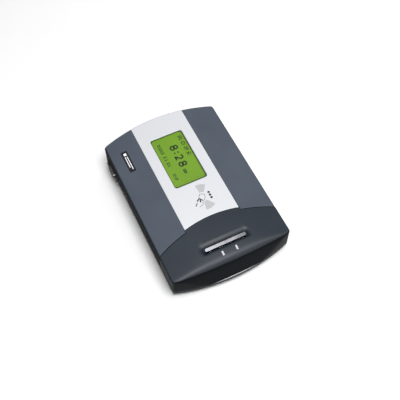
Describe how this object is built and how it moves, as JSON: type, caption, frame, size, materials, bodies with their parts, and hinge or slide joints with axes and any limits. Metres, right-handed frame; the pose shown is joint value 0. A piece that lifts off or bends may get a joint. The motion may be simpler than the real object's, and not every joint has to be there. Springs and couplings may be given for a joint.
{
  "type": "contactless card fare meter",
  "caption": "Flat landscape fare meter: silver panel with a graphic display and card-tap symbol, bowed ends, bar key and status lights in a dark end cap.",
  "frame": {"origin": "bottom centre of the bounding box, on the plane that the rubber feet stand on", "axes": "+X along the face towards the end cap with the bar key, +Y up the face, +Z out of the face"},
  "size_m": [0.213, 0.144, 0.0393],
  "materials": {
    "slate_plastic": "fine spark-eroded grain",
    "charcoal_plastic": "fine grain, a little smoother than the wings",
    "base_plastic": "fine grain",
    "silver_panel": "silver-white satin lacquer",
    "badge_black": "gloss",
    "clear_acrylic": "clear, polished",
    "black_foam": "closed-cell foam",
    "display_green": "backlit yellow-green film behind glass",
    "bright_bar": "satin chrome on plastic",
    "light_guide": "milky clear",
    "steel": "zinc plated",
    "nickel_shell": "nickel plated",
    "brass": "knurled and tapped",
    "copper": "copper under green resist",
    "circuit_board": "green solder resist",
    "chip_black": "moulded",
    "black_plastic": "moulded",
    "white_plastic": "moulded",
    "red_plastic": "moulded",
    "blue_sleeve": "shrink sleeve",
    "cable_grey": "ribbon cable",
    "foot_rubber": "soft rubber"
  },
  "bodies": {
    "casing": {"base_housing": "base_plastic", "top_housing": "slate_plastic", "end_cap": "charcoal_plastic", "fascia_panel": "silver_panel", "badge_plate": "badge_black", "display_window": "clear_acrylic", "window_gasket": "black_foam", "lcd_bezel": "steel", "lcd_glass": "display_green", "lcd_backlight": "white_plastic", "lcd_board": "circuit_board", "module_screws": "steel", "antenna_board": "circuit_board", "antenna_coil": "copper", "key_springs": "steel", "key_bracket": "black_plastic", "key_board": "circuit_board", "key_screws": "steel", "key_switch": "black_plastic", "led_windows": "light_guide", "leds": "white_plastic", "main_board": "circuit_board", "board_screws": "steel", "processor": "chip_black", "memory_chips": "chip_black", "crystal": "steel", "capacitors": "blue_sleeve", "regulator": "chip_black", "coin_cell_holder": "black_plastic", "coin_cell": "steel", "buzzer": "black_plastic", "sam_socket": "black_plastic", "sam_card": "white_plastic", "ribbon_headers": "black_plastic", "ribbon_cable": "cable_grey", "key_cable": "cable_grey", "serial_shell": "nickel_shell", "serial_insulator": "black_plastic", "jack_screws": "nickel_shell", "power_jack": "black_plastic", "power_pin": "nickel_shell", "case_screws": "steel", "case_inserts": "brass", "mount_inserts": "brass", "rubber_feet": "foot_rubber"},
    "key": {"bar_key": "bright_bar", "switch_plunger": "red_plastic"}
  },
  "joints": [
    {"name": "key_press", "type": "slide", "parent": "casing", "child": "key", "axis": [0, 0, -1], "range_m": [0, 0.001], "stiffness_N_per_m": 600, "springref_m": -0.001, "deforming": ["key_springs"]}
  ]
}
